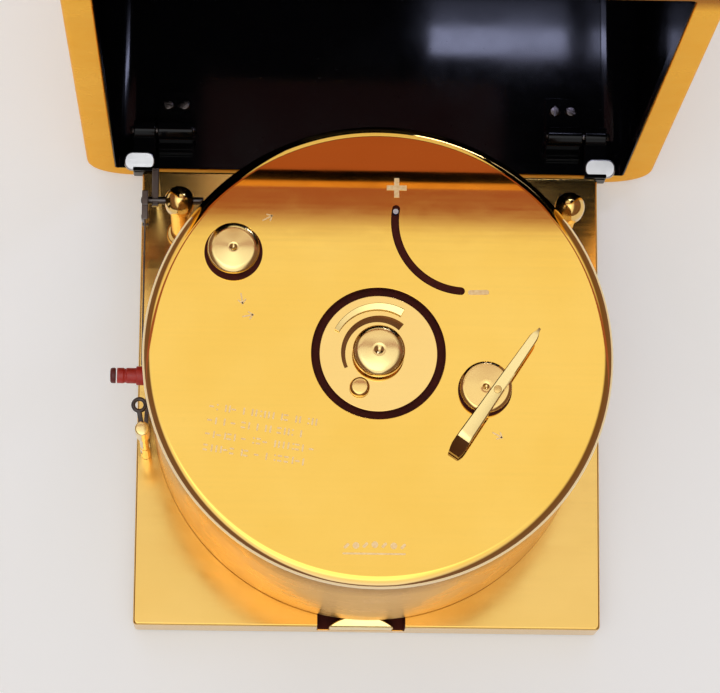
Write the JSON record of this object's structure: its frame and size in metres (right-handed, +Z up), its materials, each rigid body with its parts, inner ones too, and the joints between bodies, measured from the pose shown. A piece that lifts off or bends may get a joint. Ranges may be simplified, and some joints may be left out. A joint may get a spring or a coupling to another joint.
{
  "type": "barograph",
  "caption": "Desk barograph: square brass base, clock drum with winding key and regulator, side pen arm worked by a capsule stack, and a deep hinged box cover, shown open.",
  "frame": {"origin": "on the table under the axis of the drum, in the underside of the base pad", "axes": "+Z up, +X to the right seen from the front, +Y towards the hinges at the back"},
  "size_m": [0.1226, 0.177, 0.1376],
  "materials": {
    "polished_brass": "mirror polished and lacquered",
    "brushed_brass": "fine straight brushing, lacquered",
    "gilt_brass": "warm gilt lacquer, satin",
    "steel": "fine ground steel",
    "black_lacquer": "deep gloss black lacquer",
    "red_plastic": "moulded red, slight gloss",
    "black_plastic": "moulded black",
    "clear_glass": "clear flat glass",
    "green_felt": "wool baize"
  },
  "bodies": {
    "base": {"capsule_bridge": "polished_brass", "base_pad": "green_felt", "base_plate": "polished_brass", "spindle": "steel", "spindle_nut": "polished_brass", "sun_gear": "brushed_brass", "capsule_1": "steel", "capsule_2": "steel", "capsule_3": "steel", "rear_post_left": "polished_brass", "rear_post_right": "polished_brass", "lifter_post": "polished_brass", "catch_spring": "steel", "hinge_lug_left": "polished_brass", "hinge_lug_right": "polished_brass", "hinge_pin_left": "steel", "hinge_pin_right": "steel"},
    "cover": {"cover_shell": "gilt_brass", "cover_lining": "black_lacquer", "cover_rim": "gilt_brass", "window_pane": "clear_glass", "window_bezel": "gilt_brass", "hinge_leaf_left": "polished_brass", "hinge_leaf_right": "polished_brass"},
    "drum": {"drum_shell": "brushed_brass", "drum_hub": "polished_brass", "hub_spring": "steel", "upper_plate": "brushed_brass", "lower_plate": "brushed_brass", "pillar_1": "steel", "pillar_2": "steel", "pillar_3": "steel"},
    "winding_key": {"winding_hub": "polished_brass", "key_bar": "polished_brass", "barrel_arbor": "steel", "ratchet_wheel": "steel"},
    "click": {"click": "steel"},
    "barrel": {"barrel": "brushed_brass", "barrel_cap": "brushed_brass", "mainspring": "steel"},
    "planet_wheel": {"planet_wheel": "brushed_brass"},
    "third_wheel": {"third_wheel": "brushed_brass"},
    "fourth_wheel": {"fourth_wheel": "brushed_brass"},
    "escape_wheel": {"escape_wheel": "brushed_brass"},
    "pallet_lever": {"pallet_lever": "steel"},
    "balance": {"balance_wheel": "brushed_brass", "hairspring": "steel"},
    "regulator_index": {"regulator_index": "steel"},
    "set_knob": {"set_knob": "polished_brass"},
    "time_lever": {"time_lever": "brushed_brass"},
    "arm_arbor": {"arm_arbor": "steel"},
    "pen_arm": {"pen_arm": "steel", "pen": "red_plastic", "pen_plug": "black_plastic"},
    "lift_rod": {"lift_rod": "steel"},
    "transfer_lever": {"transfer_lever": "steel"},
    "capsule_stud": {"capsule_stud": "steel"},
    "pen_lifter": {"pen_lifter": "steel"},
    "front_catch": {"front_catch": "polished_brass"}
  },
  "joints": [
    {"name": "cover_hinge", "type": "hinge", "parent": "base", "child": "cover", "pos_m": [0, 0.0606, 0.0084], "axis": [1, 0, 0], "range_deg": [0, 90]},
    {"name": "drum_turn", "type": "hinge", "parent": "base", "child": "drum", "pos_m": [0, 0, 0], "axis": [0, 0, 1], "continuous": true},
    {"name": "key_turn", "type": "hinge", "parent": "drum", "child": "winding_key", "pos_m": [0.0211, -0.0071, 0], "axis": [0, 0, 1], "continuous": true},
    {"name": "click_pivot", "type": "hinge", "parent": "drum", "child": "click", "pos_m": [0.0236, -0.0173, 0], "axis": [0, 0, 1], "range_deg": [-12, 0], "stiffness_Nm_per_rad": 0.0005},
    {"name": "barrel_turn", "type": "hinge", "parent": "drum", "child": "barrel", "pos_m": [0.0211, -0.0071, 0], "axis": [0, 0, 1], "continuous": true},
    {"name": "planet_turn", "type": "hinge", "parent": "drum", "child": "planet_wheel", "pos_m": [0.00418, -0.01045, 0], "axis": [0, 0, 1], "continuous": true},
    {"name": "third_wheel_turn", "type": "hinge", "parent": "drum", "child": "third_wheel", "pos_m": [-0.00488, -0.01287, 0], "axis": [0, 0, 1], "continuous": true},
    {"name": "fourth_wheel_turn", "type": "hinge", "parent": "drum", "child": "fourth_wheel", "pos_m": [-0.01206, -0.00685, 0], "axis": [0, 0, 1], "continuous": true},
    {"name": "escape_wheel_turn", "type": "hinge", "parent": "drum", "child": "escape_wheel", "pos_m": [-0.01173, 0.00252, 0], "axis": [0, 0, 1], "continuous": true},
    {"name": "pallet_pivot", "type": "hinge", "parent": "drum", "child": "pallet_lever", "pos_m": [-0.00623, 0.01032, 0], "axis": [0, 0, 1], "range_deg": [-3, 3], "stiffness_Nm_per_rad": 0.0002},
    {"name": "balance_turn", "type": "hinge", "parent": "drum", "child": "balance", "pos_m": [0.0173, 0.027, 0], "axis": [0, 0, 1], "range_deg": [-150, 150], "stiffness_Nm_per_rad": 0.00001},
    {"name": "regulator_turn", "type": "hinge", "parent": "drum", "child": "regulator_index", "pos_m": [0.0173, 0.027, 0], "axis": [0, 0, 1], "range_deg": [0, 89]},
    {"name": "set_knob_turn", "type": "hinge", "parent": "drum", "child": "set_knob", "pos_m": [-0.029, 0.0201, 0], "axis": [0, 0, 1], "range_deg": [-60, 60]},
    {"name": "time_lever_turn", "type": "hinge", "parent": "drum", "child": "time_lever", "pos_m": [0, 0, 0], "axis": [0, 0, 1], "range_deg": [-18, 25]},
    {"name": "arm_swing", "type": "hinge", "parent": "base", "child": "arm_arbor", "pos_m": [-0.0475, 0.037, 0.039], "axis": [1, 0, 0], "range_deg": [-20, 20], "stiffness_Nm_per_rad": 0.02},
    {"name": "arm_gate", "type": "hinge", "parent": "arm_arbor", "child": "pen_arm", "pos_m": [-0.0475, 0.033, 0.039], "axis": [0, 0, 1], "range_deg": [-8, 0], "stiffness_Nm_per_rad": 0.0005},
    {"name": "lift_rod_slide", "type": "slide", "parent": "base", "child": "lift_rod", "axis": [0, 0, 1], "range_m": [-0.0025, 0.0025]},
    {"name": "transfer_lever_pivot", "type": "hinge", "parent": "base", "child": "transfer_lever", "pos_m": [-0.01271, 0.02787, 0.0045], "axis": [0.4191, 0.908, 0], "range_deg": [-4.5, 4.5]},
    {"name": "capsule_breathing", "type": "slide", "parent": "base", "child": "capsule_stud", "axis": [0, 0, 1], "range_m": [-0.0011, 0.0011]},
    {"name": "pen_lifter_turn", "type": "hinge", "parent": "base", "child": "pen_lifter", "pos_m": [-0.0472, -0.0112, 0.0196], "axis": [0, 0, 1], "range_deg": [0, 10]},
    {"name": "catch_push", "type": "slide", "parent": "base", "child": "front_catch", "axis": [0, 1, 0], "range_m": [0, 0.0012], "stiffness_N_per_m": 150}
  ],
  "couplings": [
    {"joint": "planet_turn", "follows": "drum_turn", "ratio": 2.75},
    {"joint": "barrel_turn", "follows": "drum_turn", "ratio": -0.57895},
    {"joint": "third_wheel_turn", "follows": "drum_turn", "ratio": -7.0714},
    {"joint": "fourth_wheel_turn", "follows": "drum_turn", "ratio": 18.184},
    {"joint": "escape_wheel_turn", "follows": "drum_turn", "ratio": -46.758},
    {"joint": "lift_rod_slide", "follows": "arm_swing", "m_per_rad": 0.006},
    {"joint": "transfer_lever_pivot", "follows": "arm_swing", "ratio": 0.16615},
    {"joint": "capsule_breathing", "follows": "arm_swing", "m_per_rad": -0.002326},
    {"joint": "arm_gate", "follows": "pen_lifter_turn", "ratio": -0.67}
  ]
}
